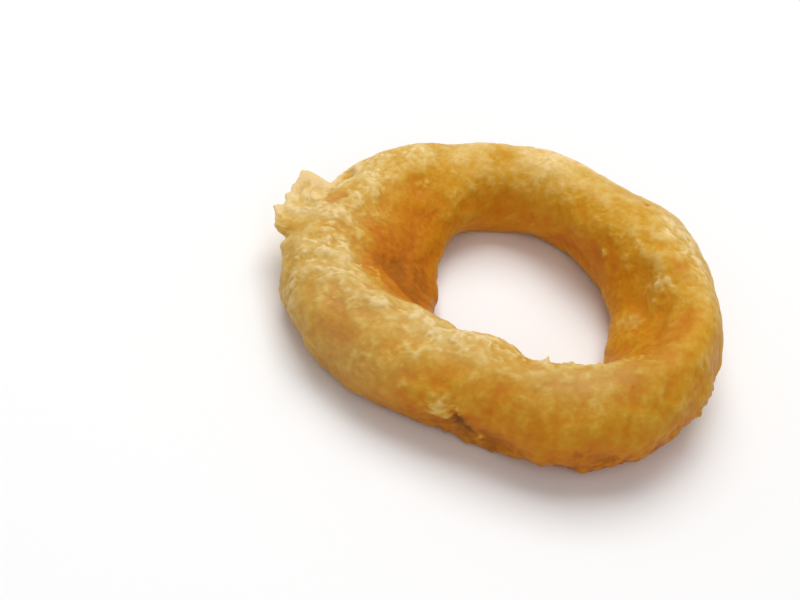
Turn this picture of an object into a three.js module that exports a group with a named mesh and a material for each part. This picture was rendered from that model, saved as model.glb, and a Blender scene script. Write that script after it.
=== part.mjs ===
// A battered onion ring, deep fried, lying flat: one closed loop of craggy golden batter.
// Millimetres, +Z up. The ring rests on z = 0 and its box is centred on the Z axis.
// "turn" is the angle round the ring, from +X towards +Y. "roll" is the angle round the tube's
// section: 0 on the outer side, 90 on top, 180 on the inner wall, 270 underneath. Both in degrees.
import * as THREE from "three";
import { ImprovedNoise } from "three/addons/math/ImprovedNoise.js";

// Driving dimensions
const RING_RADIUS = 32.2; // centre of the ring to the middle of the tube, on average
const TUBE_HALF_WIDTH = 9.4; // across the tube, level, on average
const TUBE_HALF_HEIGHT = 9.7; // across the tube, upright, on average
const SEAT_DEPTH = 1.1; // how much of the round underside has sunk flat on its rest

// The mesh: steps along the ring and round the tube
const STEPS_ALONG = 148;
const STEPS_ROUND = 36;

// Slow changes round the ring, each a wave: how many per turn, its size in mm, where it peaks
const PLAN_WAVES = [
  { count: 2, size: 3.3, peak: -22 },
  { count: 3, size: 1.6, peak: -32 },
  { count: 4, size: 0.5, peak: 3 },
];
const WIDTH_WAVES = [
  { count: 1, size: 1.0, peak: 150 },
  { count: 2, size: 0.6, peak: 60 },
  { count: 3, size: 1.1, peak: 45 },
  { count: 4, size: 1.0, peak: 44 },
];
const HEIGHT_WAVES = [{ count: 1, size: 1.2, peak: 0 }];

// Where the inner wall spreads into the hole at its foot: reach in mm
const FOOT_ROLL = 215;
const FOOT_ROUND = 48;
const FEET = [
  { turn: 185, along: 42, reach: 14.5 },
  { turn: 350, along: 30, reach: 9.3 },
];

// Broad swellings (or hollows, where negative) of the tube: spread each way, then rise in mm
const SWELLINGS = [
  { turn: 72, along: 22, roll: 0, round: 70, rise: -1.4 },
  { turn: 130, along: 18, roll: 0, round: 70, rise: -2.2 },
  { turn: 165, along: 30, roll: 0, round: 70, rise: -1.2 },
  { turn: 45, along: 14, roll: 20, round: 60, rise: 1.0 },
  { turn: 228, along: 18, roll: 0, round: 60, rise: 1.2 },
  { turn: 296, along: 22, roll: 160, round: 60, rise: -2.2 },
  { turn: 52, along: 26, roll: 200, round: 55, rise: -5.2 },
  { turn: 300, along: 20, roll: 0, round: 50, rise: 0.8 },
];

// Small forms of the batter: a fold with the crevice beside it, a dimple, pits and a spike
const SMALL_FORMS = [
  { turn: 258, along: 7, roll: 12, round: 16, rise: 1.5 },
  { turn: 266, along: 6, roll: -8, round: 13, rise: -2.4 },
  { turn: 272, along: 5, roll: -22, round: 12, rise: -1.6 },
  { turn: 45, along: 7, roll: 165, round: 18, rise: -1.6 },
  { turn: 20, along: 6, roll: 120, round: 14, rise: 0.9 },
  { turn: 350, along: 7, roll: 110, round: 16, rise: -0.7 },
  { turn: 300, along: 2.4, roll: 120, round: 9, rise: 1.8 },
  { turn: 100, along: 5, roll: 60, round: 14, rise: -0.7 },
];

// A ragged flap of batter that stands out on one side, toothed along its edge
const FLAP = { turn: 168, along: 11, roll: 18, round: 9, reach: 5.6 };
const FLAP_TEETH = [
  { turn: 158, along: 2.6, reach: 3.4 },
  { turn: 169, along: 3.0, reach: 1.2 },
  { turn: 178, along: 2.6, reach: 1.8 },
];

// Relief of the crust: broad lumps everywhere, and crags that stand out where the crust is rough
const LUMP_SPAN = 11;
const LUMP_RISE = 1.3;
const CRAG_SPAN = 4.2;
const CRAG_RISE = 1.6;
const SMOOTH_SHARE = 0.35; // how much of the crags is left on the smooth side
const ROUGH_ZONES = [
  { turn: 195, along: 55, roll: 70, round: 80 },
  { turn: 270, along: 40, roll: 120, round: 45 },
  { turn: 320, along: 45, roll: -25, round: 30 },
];

const noise = new ImprovedNoise();

/** Sum of slow waves at a turn. */
function waves(list, turn) {
  const at = (w) => THREE.MathUtils.degToRad(w.count * (turn - w.peak));
  return list.reduce((sum, w) => sum + w.size * Math.cos(at(w)), 0);
}

/** A smooth hill over an angle: 1 at its middle, close to 0 past twice its spread. */
function hill(angle, middle, spread) {
  const apart = THREE.MathUtils.euclideanModulo(angle - middle + 180, 360) - 180;
  return Math.exp(-((apart / spread) ** 2));
}

/** A hill that fades both along the ring and round the tube. */
function patch(form, turn, roll) {
  return hill(turn, form.turn, form.along) * hill(roll, form.roll, form.round);
}

/** How far the flap and its teeth stand out. */
function flap(turn, roll) {
  const body = FLAP.reach * hill(turn, FLAP.turn, FLAP.along);
  const teeth = FLAP_TEETH.reduce((sum, t) => sum + t.reach * hill(turn, t.turn, t.along), 0);
  return (body + teeth) * hill(roll, FLAP.roll, FLAP.round);
}

/** A point of the tube from a turn, a roll and a rise off its plain section. */
function tubePoint(turn, roll, rise) {
  const along = THREE.MathUtils.degToRad(turn);
  const round = THREE.MathUtils.degToRad(roll);
  const foot = FEET.reduce((sum, f) => sum + f.reach * hill(turn, f.turn, f.along), 0);
  const halfWidth = TUBE_HALF_WIDTH + waves(WIDTH_WAVES, turn) + rise;
  const halfHeight = TUBE_HALF_HEIGHT + waves(HEIGHT_WAVES, turn);
  const reach =
    RING_RADIUS +
    waves(PLAN_WAVES, turn) +
    halfWidth * Math.cos(round) -
    foot * hill(roll, FOOT_ROLL, FOOT_ROUND);
  const height = halfHeight * (1 + Math.sin(round)) + rise * Math.sin(round) - SEAT_DEPTH;
  return new THREE.Vector3(reach * Math.cos(along), reach * Math.sin(along), height);
}

/** How far the crust rises at a turn and a roll. */
function crustRise(turn, roll) {
  const forms = [...SWELLINGS, ...SMALL_FORMS];
  const shaped = forms.reduce((sum, form) => sum + form.rise * patch(form, turn, roll), 0);
  const at = tubePoint(turn, roll, 0);
  const rough = ROUGH_ZONES.reduce((most, zone) => Math.max(most, patch(zone, turn, roll)), 0);
  const crags = CRAG_RISE * (SMOOTH_SHARE + (1 - SMOOTH_SHARE) * rough);
  return (
    shaped +
    flap(turn, roll) +
    LUMP_RISE * noise.noise(at.x / LUMP_SPAN, at.y / LUMP_SPAN, at.z / LUMP_SPAN) +
    crags * noise.noise(at.x / CRAG_SPAN, at.y / CRAG_SPAN, at.z / CRAG_SPAN)
  );
}

/** The ring as one closed mesh, flat underneath. */
function ringGeometry() {
  const points = [];
  const faces = [];
  const corner = (i, j) => (i % STEPS_ALONG) * STEPS_ROUND + (j % STEPS_ROUND);
  for (let i = 0; i < STEPS_ALONG; i++) {
    for (let j = 0; j < STEPS_ROUND; j++) {
      const turn = (360 * i) / STEPS_ALONG;
      const roll = (360 * j) / STEPS_ROUND;
      const point = tubePoint(turn, roll, crustRise(turn, roll));
      points.push(point.x, point.y, Math.max(0, point.z));
      faces.push(corner(i, j), corner(i + 1, j), corner(i + 1, j + 1));
      faces.push(corner(i, j), corner(i + 1, j + 1), corner(i, j + 1));
    }
  }
  const geometry = new THREE.BufferGeometry();
  geometry.setAttribute("position", new THREE.Float32BufferAttribute(points, 3));
  geometry.setIndex(faces);
  geometry.computeBoundingBox();
  const middle = geometry.boundingBox.getCenter(new THREE.Vector3());
  geometry.translate(-middle.x, -middle.y, 0);
  geometry.computeVertexNormals();
  return geometry;
}

const batter = new THREE.MeshStandardMaterial({
  color: new THREE.Color(0xd49a3c),
  roughness: 0.55,
  metalness: 0,
});

const battered = new THREE.Mesh(ringGeometry(), batter);
battered.name = "battered_ring";

const onionRing = new THREE.Group();
onionRing.name = "onion_ring";
onionRing.add(battered);

export default onionRing;
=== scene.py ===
"""A deep-fried battered onion ring on a pale floor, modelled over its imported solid.

The crust is a fine grid wrapped onto the solid. Each of its points has a turn, the angle round the
ring from +X towards +Y, and a roll, the angle round the tube's section: 0 on the outer side, 90 on
top, 180 on the inner wall and 270 underneath. The camera looks from turn 270, the near side, with
turn 0 on the right. Lengths are in millimetres until the mesh is made, and angles in degrees.
"""

import math

import bpy
import numpy as np
from mathutils import Matrix, Vector
from mathutils.bvhtree import BVHTree


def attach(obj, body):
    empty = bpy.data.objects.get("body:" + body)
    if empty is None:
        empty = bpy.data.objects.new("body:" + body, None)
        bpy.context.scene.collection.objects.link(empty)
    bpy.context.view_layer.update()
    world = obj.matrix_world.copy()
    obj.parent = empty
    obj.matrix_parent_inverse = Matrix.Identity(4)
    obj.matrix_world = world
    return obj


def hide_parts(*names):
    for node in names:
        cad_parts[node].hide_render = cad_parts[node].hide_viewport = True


MM = 0.001
NODE = "battered_ring"

# ---------------------------------------------------------------- the set's sizes

# The photograph's frame and where the ring lies in it
FRAME_WIDTH = 800
FRAME_HEIGHT = 600
ORIGIN_AT = (484.6, 318.5)  # the pixel of the frame that shows the ring's origin
LENS_MM = 85.0
SENSOR_MM = 36.0
CAMERA_DISTANCE = 370.0
CAMERA_ELEVATION = math.radians(42)
CAMERA_ROLL = math.radians(-15)

# The softboxes: name, place and size in metres, power in watts
LIGHTS = (
    ("key", (-0.1, 0.4, 0.9), 0.8, 7.6),
    ("fill", (0.1, -0.8, 0.65), 0.9, 2.5),
)
WORLD_STRENGTH = 0.34

FLOOR_HALF_M = 2.0
FLOOR_GREY = 0.95
FLOOR_ROUGHNESS = 0.6

# ---------------------------------------------------------------- the batter's colours

# From the palest tone to TONE_TOP
TONE_TOP = 1.3
CRUST_TONES = (
    (0.0, (0.90, 0.655, 0.32)),
    (0.1, (0.805, 0.54, 0.19)),
    (0.2, (0.73, 0.475, 0.125)),
    (0.42, (0.64, 0.325, 0.022)),
    (0.62, (0.60, 0.23, 0.006)),
    (0.8, (0.57, 0.17, 0.004)),
    (0.95, (0.43, 0.125, 0.004)),
    (TONE_TOP, (0.16, 0.045, 0.002)),
)
DRY_COLOUR = (0.66, 0.52, 0.25)
# Painted shade, mostly: the grey-brown that low and shaded crust is mixed towards
SHADE_AND_DULL_COLOUR = (0.2, 0.11, 0.03)

BATTER_FINISH = {
    "Roughness": 0.34,
    "Specular IOR Level": 0.05,
    "Subsurface Weight": 0.2,
    "Subsurface Radius": (1.0, 0.45, 0.15),
    "Subsurface Scale": 0.0012,  # metres
}

# Its finest texture: scale per metre and detail
FLECKS = (900, 5)
FLECK_TONE = 0.24
GRAIN = (1800, 3)
GRAIN_STRENGTH = 0.5
GRAIN_HEIGHT_M = 0.00025

# ---------------------------------------------------------------- the grid's sizes

STEPS_ALONG = 560
STEPS_ROUND = 176
RAYS_ROUND = 540  # rays that find each section of the solid
FINE_STRETCH = (185, 50)  # middle and spread of the turns with more sections
FINE_MORE = 0.7  # how many more there, as a share
CENTRE_ROUNDS = 4  # how often the hole's middle is worked out afresh
CENTRE_STEP = 5  # the turn from one of the rays that find it to the next
FAR_OUT = 100  # farther out than the solid reaches
HEART_HEIGHT = 0.45  # where the middle of the tube lies, as a share of the solid's height
HEART_BLUR = 6  # sections over which the line through it is evened out
SEAT_TOP = 0.02  # points lower than this lie on the flat seat
SEAT_DENSITY = 0.35  # how closely they lie there, against 1 elsewhere
TURN_LENGTH = 3  # a degree of turn is about this many times as long as one of roll

# How far the grid is evened out along the ring and round the tube, in its own steps
SOLID_BLUR = (2.6, 2.6)
FLAP_BLUR = (1.1, 1.1)
PIT_BLUR = (11, 11)
LUMP_BLUR = (3, 3)
RELIEF_BLUR = (2, 2)
GRAIN_BLUR = (1, 1)
TONE_BLUR = (5, 7)
HOLLOW_BLUR = (5, 8)
SMALL_HOLLOW_BLUR = (2, 3)

# ---------------------------------------------------------------- noises

NOISE_GAIN = 1.6  # brings the noise to about -0.8 to 0.8
OCTAVE_STEP = 2.1  # how much finer each octave is than the last
LEAST_BLISTER = 0.45  # a blister's size against its span, and how much larger the largest is
MORE_BLISTER = 0.45

# The span of its features, a seed, and for a fractal its octaves and perhaps its gain
ROUGH_PATCHES = (8.0, 11)
FOLD_BENDS = (3.0, 17)
FOLD_KINKS = (1.1, 18)
LUMPS = (7.0, 21, 2)
RIM_TEETH = (1.6, 38, 3)
LONG_WRINKLES = (2.4, 41)
SHORT_WRINKLES = (1.5, 42)
LONG_STRAIGHT_WRINKLES = (2.2, 45)
SHORT_STRAIGHT_WRINKLES = (1.4, 46)
CRAGS = (3.2, 73, 4, 0.55)
SMOOTH_BUMPS = (2.0, 51, 4, 0.55)
TEETH_GAPS = (6.0, 58)
KNOB_LUMPS = (1.5, 59, 2)
FINE_GRAIN = (1.0, 61, 3)
BROAD_MOTTLE = (8.0, 81, 2)
MOTTLE = (2.8, 85, 5, 0.75)
FLAP_MOTTLE = (3.0, 89, 3, 0.6)

# Noises that shift points: span of the features, and a seed for each way
FORM_WAVES = (2.0, (34, 35, 36))
FORM_EDGES = (0.9, (44, 47, 48))
RELIEF_WARP = (2.6, (31, 32, 33))

# Blisters: span, seed, the share of them that rises
TORN_CRUMBS = (1.2, 63, 0.6)
FOLD_PITS = (1.1, 65, 0.5)
CRUMBS = (1.3, 49, 0.35)
SMALL_CRUMBS = (0.9, 50, 0.35)
SMOOTH_BLISTERS = (2.4, 53, 0.15)
KNOBS = (1.9, 55, 0.5)
SMALL_KNOBS = (1.1, 57, 0.5)

# Shares that wander: the level, how far from it, span, seed, the most
RIDGE_BREAKS = (0.7, 1.8, 1.3, 37, 1.2)
WRINKLE_BREAKS = (0.45, 1.6, 2.2, 74, 1.0)
GATHERING = (0.6, 1.1, 5.0, 71, 1.1)  # where the crumbs and wrinkles crowd

# ---------------------------------------------------------------- zones of the crust

# A zone is a turn, its spread, a roll, its spread
FLAP_ZONE = (168, 20, 12, 34)
PIT_ZONE = (268, 9, -12, 32)  # the solid's pit beside the fold
STRAIGHT_ZONE = (190, 45, 45, 60)  # where wrinkles run round the tube
CALM_ZONE = (95, 55, 115, 60)  # the far side, smoother than the rest
CALM = 0.4  # how much less of the bumps and the mottle it has

# Where the crust is craggy: zones with the share at their middle
LEAST_ROUGH = 0.12
ROUGH_VARY = 0.8  # how far the share wanders
ROUGH_ZONES = (
    (190, 50, 55, 80, 1.0),  # the left side
    (236, 20, 24, 34, 0.55),  # low on the left
    (258, 36, 112, 36, 1.0),  # the near rim
    (257, 6, 4, 24, 1.0),  # beside the fold
    (25, 30, 66, 26, 0.9),  # the right crest
    (80, 65, -15, 42, 0.5),  # the far outer side
)

# Broad changes of tone: zones with the change at their middle
TONE_ZONES = (
    # the inner wall, browner: partly painted shade
    (0, 999, 195, 55, 0.2),  # all round
    # painted light: the far side of the inner wall is paler
    (100, 45, 162, 36, -0.1),  # the far side
    (115, 20, 152, 28, 0.06),
    (94, 14, 112, 22, -0.14),
    (62, 14, 146, 26, 0.14),
    (150, 14, 160, 24, 0.1),
    (350, 45, 160, 34, -0.03),  # the right side
    (336, 14, 120, 26, 0.1),
    # painted shade: the left side's foot is browner, as is the entry below
    (195, 38, 165, 36, 0.31),  # the left side's foot
    (200, 30, 205, 30, 0.16),
    # the far crest, paler: painted light; and the flap
    (95, 75, 72, 40, -0.24),
    (148, 18, 100, 40, 0.2),  # the crest's left end
    (50, 25, 85, 30, 0.1),  # its right end
    (168, 18, 20, 30, -0.34),  # the flap
    # the right side
    (345, 42, 85, 36, 0.16),  # the crest
    (342, 16, 75, 26, 0.12),
    (18, 12, 84, 20, 0.08),
    (28, 14, 66, 20, -0.04),  # the rim
    # the left side
    (190, 50, 55, 60, 0.06),  # under its wrinkles
    (225, 9, 100, 16, 0.12),
    (222, 14, 35, 40, 0.06),  # low down
    (220, 10, 18, 20, 0.1),
    (236, 20, 24, 34, 0.06),
    (240, 14, 22, 24, 0.06),
    # the near side
    (245, 16, 108, 30, -0.1),  # the rim's left end
    (298, 32, 82, 26, 0.14),  # the crest
    (318, 12, 96, 24, 0.06),
    (264, 16, 42, 20, 0.08),  # below the crest
    (293, 26, 38, 28, 0.08),
    (289, 12, 14, 18, 0.08),
    (248, 10, -7, 16, 0.06),  # beside the fold
    # painted shade: the near side's lower half is browner, with the two entries below
    (300, 55, -4, 42, 0.24),  # the lower half
    (280, 90, -62, 50, 0.26),
    (305, 40, -50, 34, 0.16),
)

# Where the crust is floury: zones with the share of DRY_COLOUR at their middle
DRY_ROUGH = 0.17  # its share on the roughest crust
DRY_ZONES = (
    (185, 34, 50, 60, 0.07),  # the left side
    (212, 12, 64, 22, 0.12),
    (225, 38, 40, 90, 0.08),
    (226, 17, -12, 38, 0.12),
    (240, 25, 98, 30, 0.16),  # the near rim
    (254, 14, 84, 26, 0.1),
    (286, 20, 80, 26, 0.1),
    (298, 15, 98, 26, 0.2),
    (257, 7, 0, 26, -0.12),  # less beside the fold
    (325, 45, 95, 34, 0.04),  # the right side
    (355, 4, 173, 11, 0.16),  # the pale patch on its inner wall
)

# Where the crust is greyer and darker: mostly painted shade, low down and at the left side's foot,
# partly the near rim's own duller colour; zones with the share of the dull grey colour at their
# middle
SHADE_AND_DULL_ZONES = (
    (262, 40, -50, 38, 0.22),  # low down
    (215, 35, -30, 32, 0.25),
    (222, 16, 40, 38, 0.1),
    (300, 30, 40, 40, 0.07),  # the near side
    (302, 36, -15, 34, 0.06),
    (286, 22, 80, 28, 0.05),
    (318, 14, 94, 26, 0.1),
    (200, 30, 205, 30, 0.2),  # the left side's foot
)

# ---------------------------------------------------------------- the flap

# Its ragged edge: zones with the reach at their middle
FLAP_EDGE = (
    (160, 5.0, 8, 17, -5.0),  # the notch between the flap and the far side
    (165.5, 2.0, 14, 9, -1.5),
    (170.5, 1.3, 17, 4.5, 2.6),  # the tall spike
    (173.5, 1.0, 13, 6, -1.0),
    (176, 1.2, 13, 5, 0.8),
    (179, 0.9, 10, 7, -0.9),
    (181.5, 1.2, 9, 5, 1.2),
    (185, 1.0, 5, 7, -0.8),
    (188, 1.4, 3, 7, 0.7),
)

# Where it is too thin to have hollows
THIN_ZONE = (170, 20, 8, 26)
THIN_GAIN = 1.6  # how thin it is: the zone's share times this, held to 1

# Its rim: where it lies, how far round the tube it fades, and how ragged it is
RIM_ROLL = 8.5
RIM_SPREAD = 11.0
RAGGED_ZONE = (172, 15, RIM_ROLL, 9)
RIM_RAG = 0.7
RIM_RAG_UP = 0.4  # how much of that goes up, against 1 outward

# How far the rim is drawn out: turn, then the way
FLAP_RIM = (
    (152.0, (0.0, 0.0, 0.0)),
    (155.5, (0.0, 0.4, 0.5)),
    (158.5, (0.2, -0.4, -0.5)),
    (160.0, (0.6, -0.9, -1.0)),
    (161.5, (0.5, -0.9, -1.0)),
    (163.0, (0.5, -1.5, -1.6)),
    (164.3, (0.3, -0.7, -0.7)),
    (165.3, (-0.2, 0.8, 0.9)),
    (166.2, (0.0, 1.9, 2.1)),  # the tip
    (167.1, (0.3, 1.9, 2.1)),
    (168.1, (1.4, 1.1, 1.3)),
    (169.0, (1.8, 0.4, 0.4)),
    (170.4, (1.6, -0.3, -0.3)),
    (172.0, (0.9, -0.5, -0.5)),
    (175.0, (0.0, -0.4, -0.4)),
    (176.3, (-0.6, -0.4, -0.4)),
    (177.2, (-0.1, -0.5, -0.5)),
    (180.0, (-0.4, -0.6, -0.6)),
    (182.0, (-0.9, -0.6, -0.6)),
    (184.0, (-0.5, -0.5, -0.5)),
    (187.0, (-0.7, -0.3, -0.4)),
    (191.0, (0.0, 0.0, 0.0)),
)

# ---------------------------------------------------------------- the fold

FOLD_TURN = 261  # where its crevice crosses FOLD_ROLL
FOLD_ROLL = 8
FOLD_SLANT = 0.15  # how far the turn goes back for each degree of roll
FOLD_BEND = 1.6  # how far it wanders from that, in degrees
FOLD_KINK = 0.8
CREVICE_ZONE = (0, 2.0, -4, 15)  # zones with their turn counted from the course of the fold
LIP_ZONE = (-3.4, 2.4, -8, 26)

# Its parts: rise and change of tone
# The crevice and the pits are browner: partly painted shade
CREVICE = (-0.25, 0.12)
LIP = (0.25, 0.0)
TORN_EDGE = (0.4, -0.12)
PITS = (-0.25, 0.25)

# ---------------------------------------------------------------- the local forms

LUMP_RISE = 0.3
FORM_WAVER = 0.5  # how far the noise shifts the forms' outlines

# Turn, roll, size, rise, change of tone
FORMS = (
    # swellings and hollows
    (136, 38, 6.0, 1.6, 0.0),  # the far left, fuller
    (329, 6, 5.5, -1.0, 0.0),  # low on the right, flatter
    (324, -8, 4.5, -0.5, 0.0),
    (316, -18, 4.0, -0.8, 0.0),
    (338, 20, 3.4, 0.8, 0.0),
    (275, -32, 4.0, -0.6, 0.0),  # below the fold, flatter
    # painted shade: browner in the hollow behind the near rim
    (312, 140, 3.4, -0.8, 0.1),  # behind the near rim
    # the dimple in the far inner wall, browner in its hollow: painted shade
    (39, 156, 4.6, -0.6, 0.1),
    (42, 158, 2.2, 0.5, 0.0),
    # painted highlight: the blister in it is paler
    (40, 160, 0.5, 0.35, -0.3),  # a blister in it
    # the right inner wall: a pale patch and its crumbs
    (356, 176, 2.4, 0.2, -0.06),
    (357, 184, 1.0, 0.15, -0.1),
    (357, 175, 0.8, 0.2, -0.14),
    (353, 165, 0.9, 0.15, -0.1),
    (351, 173, 0.7, 0.2, -0.1),
    # the right crest: a pale patch, orange patches, then pale crumbs
    (4, 114, 5.0, 0.0, -0.14),
    (10, 95, 2.4, 0.0, 0.26),
    (0, 118, 1.7, -0.1, 0.2),
    (28, 92, 1.6, 0.2, -0.1),
    (26, 82, 1.3, 0.25, -0.08),
    (29, 66, 1.1, 0.2, -0.06),
    (20, 75, 1.4, 0.3, -0.05),
    (15, 67, 1.0, 0.3, -0.05),
    (356, 71, 0.8, 0.35, -0.1),
    (29, 121, 1.0, 0.15, -0.1),
    # the far side: pale crumbs, their paleness a painted highlight, a speck, then orange patches
    (145, 119, 0.6, 0.25, -0.2),
    (142, 119, 0.5, 0.25, -0.25),
    (144, 128, 0.4, 0.2, -0.2),
    (48, 78, 0.7, -0.3, 0.4),
    (106, 89, 3.2, 0.0, 0.3),
    (128, 40, 3.5, 0.1, 0.25),
    # the left side: orange patches, then gold ones among the wrinkles
    (170, 47, 3.6, 0.2, 0.48),
    (173, 64, 2.0, 0.1, 0.2),
    (182, 13, 2.2, -0.2, 0.5),
    (187, 79, 3.6, 0.0, 0.18),
    (179, 129, 2.4, 0.0, 0.12),
    (187, 49, 3.0, -0.1, 0.12),
    (174, 122, 3.0, 0.0, 0.08),
    (198, 24, 2.5, -0.1, 0.08),
    (217, 45, 4.0, -0.2, 0.1),
    # the near rim's left end: pale crumbs and a pit between them
    (223, 77, 1.1, 0.15, -0.08),
    (225, 85, 1.0, 0.2, -0.08),
    (227, 43, 1.0, 0.15, -0.08),
    (233, 92, 0.9, 0.2, -0.07),
    (235, 99, 0.9, 0.2, -0.05),
    (236, 111, 0.9, 0.2, -0.04),
    (238, 73, 1.2, 0.2, -0.12),
    (241, 82, 1.4, 0.1, -0.08),
    (229, 91, 0.9, -0.25, 0.2),
    # below them: pale flecks, then browner hollows
    (236, 22, 0.8, 0.15, -0.1),
    (247, 16, 0.8, 0.2, -0.16),
    (246, 48, 1.0, 0.15, -0.1),
    (219, 0, 1.2, -0.2, 0.14),
    (247, 4, 1.3, -0.1, 0.16),
    (253, 11, 1.1, -0.1, 0.14),
    (243, 60, 1.2, -0.1, 0.12),
    (223, 16, 3.5, 0.0, 0.06),
    # the fold: crumbs beside it, pits, its brown stretch, then a pale crumb
    (259, 20, 0.7, 0.3, -0.06),
    (258, 13, 0.6, 0.25, -0.1),
    (257, 7, 0.7, 0.25, -0.06),
    (256, 16, 0.5, 0.25, -0.08),
    (262, 4, 0.8, -0.25, 0.15),
    (264, -16, 0.9, -0.2, 0.12),
    (267, -27, 0.7, -0.2, 0.25),
    (262.5, -9, 1.7, -0.05, 0.2),
    (264.5, -19, 1.4, 0.0, 0.18),
    (271, -30, 0.55, 0.4, -0.6),
    # the near rim: its peak, its palest part, glints, then an orange patch
    (286, 114, 1.1, 0.5, -0.2),
    (303, 95, 5.0, 0.0, -0.08),
    (314, 86, 0.8, 0.2, -0.12),
    (321, 92, 1.0, 0.25, -0.12),
    (306, 108, 0.9, 0.2, -0.1),
    (299, 99, 0.8, 0.15, -0.1),
    (293, 92, 0.9, 0.2, -0.08),
    (312, 80, 2.0, 0.0, 0.14),
    # the near side: an orange patch, pale patches, then brown specks
    (273, 39, 3.2, 0.0, 0.1),
    (285, 66, 2.0, 0.2, -0.14),
    (300, 60, 2.4, 0.15, -0.1),
    (310, 76, 0.5, -0.1, 0.2),
    (335, 52, 0.6, -0.15, 0.25),
    (326, 28, 0.6, -0.1, 0.2),
    (329, 39, 0.5, -0.1, 0.15),
    (318, 55, 0.5, -0.1, 0.12),
)

# Raised wrinkles: a course of turns and rolls, width, rise, change of tone
RIDGES = (
    # at the flap's foot and on the left
    (((178, 83), (175, 107), (172, 133)), 0.3, 0.25, -0.14),
    (((192, 34), (193, 47), (194, 66), (191, 91)), 0.3, 0.3, -0.16),
    (((196, 19), (200, 35), (202, 51)), 0.35, 0.3, -0.16),
    (((205, 49), (205, 62), (207, 72), (209, 87)), 0.4, 0.35, -0.18),
    (((201, 116), (199, 144), (202, 150), (209, 138)), 0.35, 0.4, -0.16),
    (((211, 59), (211, 76), (214, 84), (219, 88)), 0.4, 0.35, -0.18),
    (((224, 89), (228, 93), (231, 95), (235, 94)), 0.4, 0.3, -0.16),
    # along the near rim, paler along their crests: partly painted highlight
    (((245, 53), (247, 65), (251, 74), (256, 80), (260, 86)), 0.5, 0.2, -0.1),
    (((297, 117), (302, 114), (308, 115), (314, 113), (321, 110)), 1.7, 0.4, -0.05),
    (((236, 106), (248, 112), (262, 114), (276, 116), (284, 116)), 1.2, 0.32, -0.13),
    # on the right
    (((8, 134), (7, 119), (6, 109), (3, 104)), 0.8, 0.25, -0.1),
    (((2, 141), (0, 128), (358, 120)), 0.7, 0.15, -0.08),
)

# Thin spikes of batter on the near rim: turn, roll, size, how far the tip is drawn out each way
SPIKES = (
    (287, 118, 0.5, (0.1, 0.2, 0.5)),
    (287.2, 118, 0.35, (0.1, 0.2, 0.9)),
    (284.5, 116, 0.6, (-0.2, 0.2, 0.4)),
)

# ---------------------------------------------------------------- the fine relief

WARP = 0.9  # how far the noise shifts the wrinkles and crumbs
STRAIGHT_WARP = 0.4
RING_RADIUS = 34.0  # turns the turn into a length along the ring
ROUND_SCALE = 0.35  # straight wrinkles: their noise's scale round the tube, against 1 along the ring
LONG_CREST = 0.13  # half the width of a wrinkle, in its noise's values
SHORT_CREST = 0.14
SHORT_SHARE = 0.7  # the smaller wrinkles' and crumbs' rise, against 1

# The craggy crust: rises, and how far it is sunk as a whole
WRINKLE_RISE = 0.34
CRUMB_RISE = 0.36
CRAG_RISE = 0.34
CRAG_SINK = 0.1

# The smooth crust
BUMP_RISE = 0.14
BLISTER_RISE = 0.12
FAINT_WRINKLE_RISE = 0.03

# Small teeth along the lower edge: turns and rolls of their course
TEETH_START = 100  # the course's turns are counted on from here, past 360
TEETH_COURSE = (
    (205, -10),
    (225, -30),
    (255, -50),
    (275, -48),
    (300, -36),
    (315, -10),
    (345, 0),
    (380, 25),
)
TEETH_SPREAD = 17  # how far round the tube they reach from it
TEETH_STRETCHES = ((240, 32, 0.35), (276, 16, 0.6), (325, 30, 0.85))  # turn, its spread, share
TEETH_VARY = 0.6  # how far their share wanders
MOST_TEETH = 1.2
TOOTH_RISE = 0.9

# The knobs that they are made of
KNOB_RISE = 0.8  # against 1 for the small ones
KNOB_POINT = 1.5  # how pointed each kind is
SMALL_KNOB_POINT = 2
KNOB_LUMP_RISE = 0.2

# The finest grain, and how much more of it the rough crust has
GRAIN_RISE = 0.03
ROUGH_GRAIN = 0.08
THIN_GRAIN_CUT = 0.6  # how much of that the thin flap is spared

# ---------------------------------------------------------------- the tone

TONE_MIDDLE = 0.54
# Painted light: a face that looks up is paler
PAINTED_TOP_LIGHT = -0.08  # change on a face that looks up
# Paler craggy crust, wrinkles and crumbs: partly the batter's drier colour, partly painted highlight
TONE_ROUGH = -0.15
TONE_WRINKLE = -0.23
TONE_CRUMB = -0.18
TONE_FAINT_WRINKLE = -0.01
# Painted shade and light: browner in hollows, paler where the crust stands above its surroundings
HOLLOW_SHADE_TONE = 0.08  # change in a hollow of HOLLOW_DEPTH
HOLLOW_DEPTH = 0.6
SMALL_HOLLOW_SHADE_TONE = 0.12  # and in one of SMALL_HOLLOW_DEPTH
SMALL_HOLLOW_DEPTH = 0.12
SMALL_HOLLOW_RANGE = (-1.5, 0.5)  # held to this many times the change
BROAD_MOTTLE_TONE = 0.035
MOTTLE_TONE = 0.04
FLAP_MOTTLE_TONE = 0.2
WALL_ROLL = (190, 50)  # the inner wall's roll and spread
WALL_MOTTLE_CUT = 0.5  # how much less mottle it has
BROWNEST = 0.98  # tones past this are drawn back towards it, save in the local forms
PAST_BROWNEST = 0.25  # how much of what is past it is left


# ---------------------------------------------------------------- noise


def scramble(cell, seed):
    """A whole number of 24 random bits for each cell of a lattice."""
    bits = cell[:, 0] * 374761393 + cell[:, 1] * 668265263 + cell[:, 2] * 2147483647
    bits += seed * 974634777
    bits = (bits ^ (bits >> 13)) * 1274126177
    return (bits ^ (bits >> 16)) & 0xFFFFFF


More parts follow.
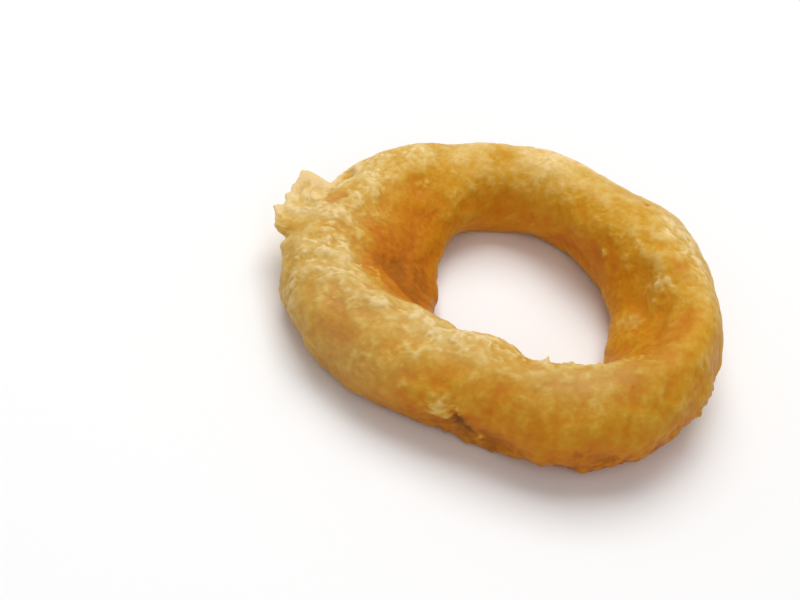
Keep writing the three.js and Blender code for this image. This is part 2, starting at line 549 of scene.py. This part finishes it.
def lattice_noise(points, seed):
    """Smooth gradient noise at each point, about -0.8 to 0.8."""
    low = np.floor(points).astype(np.int64)
    part = points - low
    ease = part * part * part * (part * (part * 6 - 15) + 10)
    total = np.zeros(len(points))
    for corner in np.ndindex(2, 2, 2):
        bits = scramble(low + corner, seed)
        around = (bits & 0xFFF) / 4096 * 2 * np.pi
        rise = (bits >> 12) / 4096 * 2 - 1
        flat = np.sqrt(1 - rise * rise)
        way = np.stack([np.cos(around) * flat, np.sin(around) * flat, rise], 1)
        weight = np.prod(np.where(np.array(corner), ease, 1 - ease), axis=1)
        total += ((part - corner) * way).sum(1) * weight
    return total * NOISE_GAIN


def noise(grid, span, seed):
    """Noise over a grid of points, with features about span across."""
    return lattice_noise(grid.reshape(-1, 3) / span, seed).reshape(grid.shape[:2])


def shift(grid, span, seeds):
    """Noise with a value each way for each point."""
    return np.stack([noise(grid, span, seed) for seed in seeds], 2)


def fractal(grid, span, seed, octaves, gain=0.5):
    """Noise with finer and fainter copies of itself."""
    total = np.zeros(grid.shape[:2])
    for octave in range(octaves):
        total += gain**octave * noise(grid, span / OCTAVE_STEP**octave, seed + octave)
    return total


def wander(grid, level, swing, span, seed, most):
    """A share that wanders by the swing about a level, from 0 to the most."""
    return np.clip(level + swing * noise(grid, span, seed), 0, most)


def blisters(grid, span, seed, share):
    """Round domes, 0 to 1, packed about span apart; only the given share of them rises."""
    points = grid.reshape(-1, 3) / span
    low = np.floor(points).astype(np.int64)
    top = np.zeros(len(points))
    for offset in np.ndindex(3, 3, 3):
        cell = low + offset - 1
        bits = scramble(cell, seed)
        centre = cell + np.stack([bits & 0xFF, (bits >> 8) & 0xFF, bits >> 16], 1) / 256
        size = LEAST_BLISTER + MORE_BLISTER * (scramble(cell, seed + 1) & 0xFF) / 256
        rises = (scramble(cell, seed + 2) & 0xFF) / 256 < share
        apart = np.linalg.norm(points - centre, axis=1) / size
        dome = size * np.sqrt(np.clip(1 - apart**2, 0, 1))
        top = np.maximum(top, np.where(rises, dome, 0))
    return top.reshape(grid.shape[:2])


# ---------------------------------------------------------------- angles and zones


def signed(angle):
    """The same angle, from -180 to 180."""
    return (angle + 180) % 360 - 180


def hill(angle, middle, spread):
    """A smooth hill over an angle: 1 at its middle, close to 0 past twice its spread."""
    return np.exp(-((signed(angle - middle) / spread) ** 2))


def patch(turn, roll, at_turn, along, at_roll, round_):
    """A hill that fades both along the ring and round the tube."""
    return hill(turn, at_turn, along) * hill(roll, at_roll, round_)


def sum_of_zones(zones, turn, roll):
    """The amounts of all the zones, added up at each point."""
    return sum(amount * patch(turn, roll, *zone) for *zone, amount in zones)


# ---------------------------------------------------------------- the grid


def blur(values, along, round_):
    """Gaussian blur of a grid that closes on itself both ways, in grid steps."""
    for axis, sigma in ((0, along), (1, round_)):
        if sigma <= 0:
            continue
        count = values.shape[axis]
        steps = np.minimum(np.arange(count), count - np.arange(count))
        kernel = np.exp(-0.5 * (steps / sigma) ** 2)
        shape = [1] * values.ndim
        shape[axis] = count
        transfer = np.fft.fft(kernel / kernel.sum()).reshape(shape)
        values = np.fft.ifft(np.fft.fft(values, axis=axis) * transfer, axis=axis).real
    return values


def normals(grid, along, round_):
    """Outward unit normals of the grid once it is evened out over so many steps."""
    even = blur(grid, along, round_)
    way_along = np.roll(even, -1, 0) - np.roll(even, 1, 0)
    way_round = np.roll(even, -1, 1) - np.roll(even, 1, 1)
    normal = np.cross(way_along, way_round)
    return normal / np.maximum(np.linalg.norm(normal, axis=2, keepdims=True), 1e-9)


def section_turns():
    """The turns of the grid's sections, closer together on the left, where the crust is finest."""
    tenths = np.linspace(0, 360, 3601)
    density = 1 + FINE_MORE * hill(tenths, *FINE_STRETCH)
    reach = np.concatenate([[0], np.cumsum((density[1:] + density[:-1]) / 2)])
    return np.interp(np.arange(STEPS_ALONG) / STEPS_ALONG * reach[-1], reach, tenths)


def hole_centre(tree, corners, height):
    """The middle of the hole at a height: halfway between its walls, found by casting rays."""
    centre = corners[:, :2].mean(0)
    for _ in range(CENTRE_ROUNDS):
        hits = []
        for angle in np.radians(np.arange(0, 360, CENTRE_STEP)):
            way = Vector((math.cos(angle), math.sin(angle), 0))
            hits.append(tree.ray_cast(Vector((*centre, height)), way)[0].xy)
        hits = np.array(hits)
        centre = (hits.min(0) + hits.max(0)) / 2
    return centre


def tube_heart(tree, corners, ways):
    """A point in the middle of the tube for each way out from the hole."""
    height = corners[:, 2].max() * HEART_HEIGHT
    start = Vector((*hole_centre(tree, corners, height), height))
    heart = np.zeros((len(ways), 3))
    for i, way in enumerate(ways):
        out = Vector(way)
        inner = tree.ray_cast(start, out)[0]
        outer = tree.ray_cast(start + out * FAR_OUT, -out)[0]
        heart[i] = (inner + outer) / 2
    heart = blur(heart[:, None, :], HEART_BLUR, 0)[:, 0, :]
    heart[:, 2] = height
    return heart


def wrap_solid(node):
    """A fine grid on the solid's surface, with each point's turn and roll."""
    points = [v.co / MM for v in node.data.vertices]
    tree = BVHTree.FromPolygons(points, [p.vertices[:] for p in node.data.polygons])
    turns = section_turns()
    around = np.radians(turns)
    ways = np.stack([np.cos(around), np.sin(around), np.zeros(STEPS_ALONG)], 1)
    heart = tube_heart(tree, np.array(points), ways)
    rolls = np.arange(RAYS_ROUND) * 360 / RAYS_ROUND
    grid = np.zeros((STEPS_ALONG, STEPS_ROUND, 3))
    roll = np.zeros((STEPS_ALONG, STEPS_ROUND))
    for i in range(STEPS_ALONG):
        rays = np.outer(np.cos(np.radians(rolls)), ways[i])
        rays[:, 2] = np.sin(np.radians(rolls))
        start = Vector(heart[i])
        section = np.array([tree.ray_cast(start, Vector(ray))[0] for ray in rays])
        edge = sum_of_zones(FLAP_EDGE, turns[i], rolls)
        grid[i], roll[i] = respace(section + rays * edge[:, None], rolls)
    return grid, np.repeat(turns[:, None], STEPS_ROUND, 1), roll


def respace(section, rolls):
    """One section's points moved along it to even steps, wider on the flat seat."""
    closed = np.vstack([section, section[:1]])
    steps = np.linalg.norm(np.diff(closed, axis=0), axis=1)
    seat = (closed[:-1, 2] < SEAT_TOP) & (closed[1:, 2] < SEAT_TOP)
    weight = steps * np.where(seat, SEAT_DENSITY, 1.0)
    reach = np.concatenate([[0], np.cumsum(weight)])
    wanted = np.arange(STEPS_ROUND) / STEPS_ROUND * reach[-1]
    spaced = np.stack([np.interp(wanted, reach, closed[:, k]) for k in range(3)], 1)
    return spaced, np.interp(wanted, reach, np.append(rolls, 360.0))


# ---------------------------------------------------------------- forms of the crust


def nearest(turn, roll, at_turn, at_roll):
    """The place in the grid of a turn and a roll."""
    along = signed(turn - at_turn)
    round_ = signed(roll - at_roll)
    return np.unravel_index(np.argmin((along * TURN_LENGTH) ** 2 + round_**2), turn.shape)


def spot(grid, turn, roll, at_turn, at_roll, size):
    """A smooth hill on the surface: 1 at a turn and a roll, close to 0 past twice its size."""
    middle = grid[nearest(turn, roll, at_turn, at_roll)]
    return np.exp(-((grid - middle) ** 2).sum(2) / size**2)


def ridge(grid, turn, roll, course, width):
    """A soft ridge along a course of turns and rolls: 1 on it, close to 0 past twice its width."""
    ends = [grid[nearest(turn, roll, *at)] for at in course]
    apart = np.full(turn.shape, np.inf)
    for start, end in zip(ends[:-1], ends[1:]):
        way = end - start
        part = np.clip((grid - start) @ way / (way @ way), 0, 1)
        apart = np.minimum(apart, ((grid - start - part[..., None] * way) ** 2).sum(2))
    return np.exp(-apart / width**2)


def soften_solid(grid, turn, roll):
    """The wrapped grid without the solid's facets and its pit, sharp only at the flap."""
    flap = patch(turn, roll, *FLAP_ZONE)[..., None]
    pit = patch(turn, roll, *PIT_ZONE)[..., None]
    soft = blur(grid, *SOLID_BLUR)
    grid = soft + (blur(grid, *FLAP_BLUR) - soft) * flap
    return grid + (blur(grid, *PIT_BLUR) - grid) * pit


def fold(grid, turn, roll):
    """The fold's rise and change of tone: a crevice, a torn lip beside it, and pits."""
    bend = FOLD_BEND * noise(grid, *FOLD_BENDS) + FOLD_KINK * noise(grid, *FOLD_KINKS)
    off = turn - (FOLD_TURN + (FOLD_ROLL - signed(roll)) * FOLD_SLANT + bend)
    crevice = patch(off, roll, *CREVICE_ZONE)
    lip = patch(off, roll, *LIP_ZONE)
    torn = blisters(grid, *TORN_CRUMBS) * lip
    pits = blisters(grid, *FOLD_PITS) * crevice
    parts = ((crevice, CREVICE), (lip, LIP), (torn, TORN_EDGE), (pits, PITS))
    rise = sum(part * up for part, (up, _) in parts)
    tone = sum(part * darker for part, (_, darker) in parts)
    return rise, tone


def local_forms(grid, turn, roll):
    """The rise and change of tone of the local forms and the raised wrinkles."""
    wavy = grid + FORM_WAVER * shift(grid, *FORM_WAVES)
    uneven = wavy + FORM_WAVER * shift(grid, *FORM_EDGES)
    broken = wander(grid, *RIDGE_BREAKS)
    rise = np.zeros(turn.shape)
    tone = np.zeros(turn.shape)
    for at_turn, at_roll, size, up, darker in FORMS:
        form = spot(uneven, turn, roll, at_turn, at_roll, size)
        rise += up * form
        tone += darker * form
    for course, width, up, darker in RIDGES:
        form = ridge(wavy, turn, roll, course, width) * broken
        rise += up * form
        tone += darker * form
    return rise, tone


def flap_rim(grid, turn, roll):
    """How far the flap's rim is drawn out each way."""
    turns, ways = zip(*FLAP_RIM)
    bent = np.stack([np.interp(turn, turns, values) for values in zip(*ways)], 2)
    around = np.radians(turn)
    outward = np.stack([np.cos(around), np.sin(around), np.full(turn.shape, RIM_RAG_UP)], 2)
    level = grid * (1, 1, 0)  # the same above and below the thin rim
    ragged = RIM_RAG * fractal(level, *RIM_TEETH) * patch(turn, roll, *RAGGED_ZONE)
    return bent * hill(roll, RIM_ROLL, RIM_SPREAD)[..., None] + outward * ragged[..., None]


def spikes(grid, turn, roll):
    """How far the thin spikes are drawn out each way."""
    drawn = np.zeros(grid.shape)
    for at_turn, at_roll, size, way in SPIKES:
        drawn += spot(grid, turn, roll, at_turn, at_roll, size)[..., None] * way
    return drawn


def lump_and_form(grid, turn, roll):
    """The grid with its lumps, fold, local forms, rim and spikes, and their change of tone."""
    lumps = fractal(grid, *LUMPS) * (1 - patch(turn, roll, *FLAP_ZONE))
    fold_rise, fold_tone = fold(grid, turn, roll)
    form_rise, form_tone = local_forms(grid, turn, roll)
    rise = LUMP_RISE * lumps + fold_rise + form_rise
    drawn = flap_rim(grid, turn, roll) + spikes(grid, turn, roll)
    return grid + normals(grid, *LUMP_BLUR) * rise[..., None] + drawn, fold_tone + form_tone


# ---------------------------------------------------------------- relief of the crust


def rough_share(grid, turn, roll):
    """Where the crust is craggy, 0 to 1."""
    shares = [most * patch(turn, roll, *zone) for *zone, most in ROUGH_ZONES]
    share = np.maximum(np.maximum.reduce(shares), LEAST_ROUGH)
    return np.clip(share * (1 + ROUGH_VARY * noise(grid, *ROUGH_PATCHES)), 0, 1)


def calm_share(turn, roll):
    """How much of the bumps and the mottle is left: less on the far side."""
    return 1 - CALM * patch(turn, roll, *CALM_ZONE)


def crests(points, long, short):
    """Wrinkles of two sizes, each a thin crest where its noise is 0."""
    large = np.clip(1 - np.abs(noise(points, *long)) / LONG_CREST, 0, 1)
    small = np.clip(1 - np.abs(noise(points, *short)) / SHORT_CREST, 0, 1)
    return large + SHORT_SHARE * small


def wrinkles(grid, warp, turn, roll):
    """Thin wrinkles, 0 to 1.7: round the tube on the left, and any way elsewhere."""
    bent = grid + warp * WARP
    along = np.radians(turn) * RING_RADIUS
    drawn = [along, bent[..., 0] * ROUND_SCALE, (bent[..., 1] + bent[..., 2]) * ROUND_SCALE]
    across = np.stack(drawn, 2) + warp * STRAIGHT_WARP
    left = patch(turn, roll, *STRAIGHT_ZONE)
    free = crests(bent, LONG_WRINKLES, SHORT_WRINKLES)
    straight = crests(across, LONG_STRAIGHT_WRINKLES, SHORT_STRAIGHT_WRINKLES)
    return (free * (1 - left) + straight * left) * wander(grid, *WRINKLE_BREAKS)


def teeth(grid, turn, roll):
    """The rise of the small teeth: a band low on the near side that climbs to the right."""
    turns, rolls = zip(*TEETH_COURSE)
    counted = (turn - TEETH_START) % 360 + TEETH_START
    band = hill(roll - np.interp(counted, turns, rolls), 0, TEETH_SPREAD)
    share = band * sum(most * hill(turn, *stretch) for *stretch, most in TEETH_STRETCHES)
    share = np.clip(share * (1 + TEETH_VARY * noise(grid, *TEETH_GAPS)), 0, MOST_TEETH)
    knobs = KNOB_RISE * blisters(grid, *KNOBS) ** KNOB_POINT
    knobs = knobs + blisters(grid, *SMALL_KNOBS) ** SMALL_KNOB_POINT
    knobs = knobs + KNOB_LUMP_RISE * fractal(grid, *KNOB_LUMPS)
    return TOOTH_RISE * share * knobs


def add_relief(grid, turn, roll, rough):
    """The grid with its fine relief, and how that changes the tone.

    Wrinkles and crumbs stand on the rough crust and low bumps on the smooth crust, with teeth
    along the lower edge and a fine grain over all of it.
    """
    warp = shift(grid, *RELIEF_WARP)
    bent = grid + warp * WARP
    lines = wrinkles(grid, warp, turn, roll)
    dots = blisters(bent, *CRUMBS) + SHORT_SHARE * blisters(bent, *SMALL_CRUMBS)
    gather = wander(grid, *GATHERING)
    craggy = (WRINKLE_RISE * lines + CRUMB_RISE * dots) * gather
    craggy = craggy + CRAG_RISE * fractal(grid, *CRAGS) - CRAG_SINK
    smooth = BUMP_RISE * calm_share(turn, roll) * fractal(grid, *SMOOTH_BUMPS)
    smooth = smooth + BLISTER_RISE * blisters(grid, *SMOOTH_BLISTERS) + FAINT_WRINKLE_RISE * lines
    rise = rough * craggy + (1 - rough) * smooth + teeth(grid, turn, roll)
    thin = np.clip(THIN_GAIN * patch(turn, roll, *THIN_ZONE), 0, 1)
    rise = np.maximum(rise, 0) + np.minimum(rise, 0) * (1 - thin)
    raised = grid + normals(grid, *RELIEF_BLUR) * rise[..., None]
    grain = GRAIN_RISE + ROUGH_GRAIN * rough * (1 - THIN_GRAIN_CUT * thin)
    grain = grain * fractal(raised, *FINE_GRAIN)
    raised = raised + normals(raised, *GRAIN_BLUR) * grain[..., None]
    # paler wrinkles and crumbs: partly painted highlight
    tone = rough * gather * (TONE_WRINKLE * lines + TONE_CRUMB * dots)
    return raised, tone + TONE_FAINT_WRINKLE * lines


# ---------------------------------------------------------------- colours of the crust


def hollow_depth(grid, normal, along, round_):
    """How far each point lies below its surroundings, over so many grid steps."""
    return ((blur(grid, along, round_) - grid) * normal).sum(2)


def crust_tone(grid, turn, roll, rough):
    """How brown the crust is, with painted light and shade in it: paler on top and on crests,
    browner low down and in hollows.
    """
    flap = patch(turn, roll, *FLAP_ZONE)
    normal = normals(grid, *TONE_BLUR)
    hollow = np.clip(hollow_depth(grid, normal, *HOLLOW_BLUR) / HOLLOW_DEPTH, -1, 1)
    small_hollow = hollow_depth(grid, normal, *SMALL_HOLLOW_BLUR) / SMALL_HOLLOW_DEPTH
    mottle = MOTTLE_TONE * calm_share(turn, roll) * fractal(grid, *MOTTLE)
    mottle = mottle + BROAD_MOTTLE_TONE * fractal(grid, *BROAD_MOTTLE)
    tone = TONE_MIDDLE + PAINTED_TOP_LIGHT * normal[..., 2] + TONE_ROUGH * rough
    tone = tone + mottle * (1 - WALL_MOTTLE_CUT * hill(roll, *WALL_ROLL))
    tone = tone + FLAP_MOTTLE_TONE * flap * fractal(grid, *FLAP_MOTTLE)
    tone = tone + HOLLOW_SHADE_TONE * (1 - flap) * hollow
    tone = tone + SMALL_HOLLOW_SHADE_TONE * np.clip(small_hollow, *SMALL_HOLLOW_RANGE)
    tone = tone + sum_of_zones(TONE_ZONES, turn, roll)
    return np.where(tone > BROWNEST, BROWNEST + PAST_BROWNEST * (tone - BROWNEST), tone)


def crust(grid, turn, roll):
    """The wrapped grid with its batter on, and its marks: the tone, how dry it is, and how grey it
    is, which is mostly painted shade.
    """
    grid = soften_solid(grid, turn, roll)
    rough = rough_share(grid, turn, roll)
    grid, form_tone = lump_and_form(grid, turn, roll)
    grid, relief_tone = add_relief(grid, turn, roll, rough)
    grid[..., 2] = np.maximum(grid[..., 2], 0)
    marks = {
        "tone": crust_tone(grid, turn, roll, rough) + form_tone + relief_tone,
        "dry": np.clip(DRY_ROUGH * rough + sum_of_zones(DRY_ZONES, turn, roll), 0, 1),
        "shade_and_dull": np.clip(sum_of_zones(SHADE_AND_DULL_ZONES, turn, roll), 0, 1),
    }
    return grid, marks


# ---------------------------------------------------------------- the piece


def grid_faces(along, round_):
    """The four-sided faces of a grid that closes on itself both ways."""
    i, j = np.meshgrid(np.arange(along), np.arange(round_), indexing="ij")
    here = i * round_ + j
    on = (i + 1) % along * round_ + j
    both = (i + 1) % along * round_ + (j + 1) % round_
    up = i * round_ + (j + 1) % round_
    return np.stack([here, on, both, up], 2).reshape(-1, 4)


def crust_piece(name, points, faces, marks, material):
    """A piece of the crust from points in mm, with each point's marks, riding the ring."""
    mesh = bpy.data.meshes.new(name)
    mesh.from_pydata((points.reshape(-1, 3) * MM).tolist(), [], faces.tolist())
    for mark, values in marks.items():
        layer = mesh.attributes.new(mark, "FLOAT", "POINT")
        layer.data.foreach_set("value", values.astype(np.float32).ravel())
    mesh.shade_smooth()
    mesh.update()
    mesh.materials.append(material)
    piece = bpy.data.objects.new(name, mesh)
    bpy.context.collection.objects.link(piece)
    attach(piece, "root")
    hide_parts(NODE)


# ---------------------------------------------------------------- materials


def batter_material():
    """Fried batter: pale crags, golden lumps, deep amber hollows and walls that are partly painted
    shade, greyer painted shade low down, a little oil.
    """
    material = bpy.data.materials.new("fried_batter")
    material.use_nodes = True
    nodes = material.node_tree.nodes
    links = material.node_tree.links
    shader = nodes["Principled BSDF"]
    place = nodes.new("ShaderNodeTexCoord").outputs["Object"]

    def mark(name):
        node = nodes.new("ShaderNodeAttribute")
        node.attribute_name = name
        return node.outputs["Fac"]

    def speckle(scale, detail):
        node = nodes.new("ShaderNodeTexNoise")
        node.inputs["Scale"].default_value = scale
        node.inputs["Detail"].default_value = detail
        links.new(place, node.inputs["Vector"])
        return node.outputs["Fac"]

    def math_node(operation, first, second):
        node = nodes.new("ShaderNodeMath")
        node.operation = operation
        for socket, value in zip(node.inputs, (first, second)):
            if isinstance(value, (int, float)):
                socket.default_value = value
            else:
                links.new(value, socket)
        return node.outputs[0]

    def tone_colour():
        fleck = math_node("SUBTRACT", speckle(*FLECKS), 0.5)  # about 0 on average
        tone = math_node("ADD", mark("tone"), math_node("MULTIPLY", fleck, FLECK_TONE))
        ramp = nodes.new("ShaderNodeValToRGB")
        for _ in CRUST_TONES[2:]:
            ramp.color_ramp.elements.new(1.0)
        for element, (tone_at, colour) in zip(ramp.color_ramp.elements, CRUST_TONES):
            element.position = tone_at / TONE_TOP
            element.color = (*colour, 1)
        links.new(math_node("DIVIDE", tone, TONE_TOP), ramp.inputs["Fac"])
        return ramp.outputs["Color"]

    def mixed(colour, share, other):
        node = nodes.new("ShaderNodeMix")
        node.data_type = "RGBA"
        links.new(share, node.inputs["Factor"])
        links.new(colour, node.inputs["A"])
        node.inputs["B"].default_value = (*other, 1)
        return node.outputs["Result"]

    colour = mixed(tone_colour(), mark("dry"), DRY_COLOUR)
    # painted shade, mostly: greyer and darker low down and at the left side's foot
    colour = mixed(colour, mark("shade_and_dull"), SHADE_AND_DULL_COLOUR)
    links.new(colour, shader.inputs["Base Color"])
    for name, value in BATTER_FINISH.items():
        shader.inputs[name].default_value = value
    bump = nodes.new("ShaderNodeBump")
    bump.inputs["Strength"].default_value = GRAIN_STRENGTH
    bump.inputs["Distance"].default_value = GRAIN_HEIGHT_M
    links.new(speckle(*GRAIN), bump.inputs["Height"])
    links.new(bump.outputs["Normal"], shader.inputs["Normal"])
    return material


def floor_material():
    """A matt white."""
    material = bpy.data.materials.new("pale_floor")
    material.use_nodes = True
    shader = material.node_tree.nodes["Principled BSDF"]
    shader.inputs["Base Color"].default_value = (FLOOR_GREY, FLOOR_GREY, FLOOR_GREY, 1)
    shader.inputs["Roughness"].default_value = FLOOR_ROUGHNESS
    return material


# ---------------------------------------------------------------- the set


def make_floor():
    """A level square under the ring, much wider than the view."""
    half = FLOOR_HALF_M
    mesh = bpy.data.meshes.new("floor")
    corners = [(-half, -half, 0), (half, -half, 0), (half, half, 0), (-half, half, 0)]
    mesh.from_pydata(corners, [], [(0, 1, 2, 3)])
    mesh.materials.append(floor_material())
    floor = bpy.data.objects.new("floor", mesh)
    bpy.context.collection.objects.link(floor)


def make_camera():
    """The camera looks down on the ring from the near side, tilted as the photograph is."""
    data = bpy.data.cameras.new("camera")
    data.lens = LENS_MM
    data.sensor_width = SENSOR_MM
    camera = bpy.data.objects.new("camera", data)
    bpy.context.collection.objects.link(camera)
    back = Vector((0, -math.cos(CAMERA_ELEVATION), math.sin(CAMERA_ELEVATION)))
    right = Vector((1, 0, 0))
    up = back.cross(right)
    cosine = math.cos(CAMERA_ROLL)
    sine = math.sin(CAMERA_ROLL)
    axes = Matrix((cosine * right - sine * up, sine * right + cosine * up, back)).transposed()
    # turned so that the origin shows at its pixel
    pixels = LENS_MM / SENSOR_MM * FRAME_WIDTH
    across = (ORIGIN_AT[0] - FRAME_WIDTH / 2) / pixels
    upward = (FRAME_HEIGHT / 2 - ORIGIN_AT[1]) / pixels
    towards = Vector((across, upward, -1))
    turn = Vector((0, 0, -1)).rotation_difference(towards).to_matrix()
    place = Matrix.Translation(back * CAMERA_DISTANCE * MM)
    camera.matrix_world = place @ (axes @ turn.transposed()).to_4x4()
    bpy.context.scene.camera = camera


def make_lights():
    """The softboxes, which face the ring, and a white world."""
    for name, place, size, power in LIGHTS:
        data = bpy.data.lights.new(name, "AREA")
        data.size = size
        data.energy = power
        light = bpy.data.objects.new(name, data)
        light.location = place
        light.rotation_euler = (-Vector(place)).to_track_quat("-Z", "Y").to_euler()
        bpy.context.collection.objects.link(light)
    world = bpy.data.worlds.new("studio")
    world.use_nodes = True
    background = world.node_tree.nodes["Background"]
    background.inputs["Color"].default_value = (1, 1, 1, 1)
    background.inputs["Strength"].default_value = WORLD_STRENGTH
    bpy.context.scene.world = world


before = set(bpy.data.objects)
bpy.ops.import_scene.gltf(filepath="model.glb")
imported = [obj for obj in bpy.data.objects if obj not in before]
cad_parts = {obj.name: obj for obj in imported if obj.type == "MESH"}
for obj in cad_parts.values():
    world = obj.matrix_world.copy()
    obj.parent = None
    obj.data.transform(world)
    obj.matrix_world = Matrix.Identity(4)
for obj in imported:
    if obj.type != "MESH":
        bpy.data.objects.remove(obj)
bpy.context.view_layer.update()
bpy.context.scene.view_settings.view_transform = "Standard"

batter = batter_material()
grid, turn, roll = wrap_solid(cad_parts[NODE])
grid, marks = crust(grid, turn, roll)
crust_piece("ring_crust", grid, grid_faces(STEPS_ALONG, STEPS_ROUND), marks, batter)

make_floor()
make_camera()
make_lights()
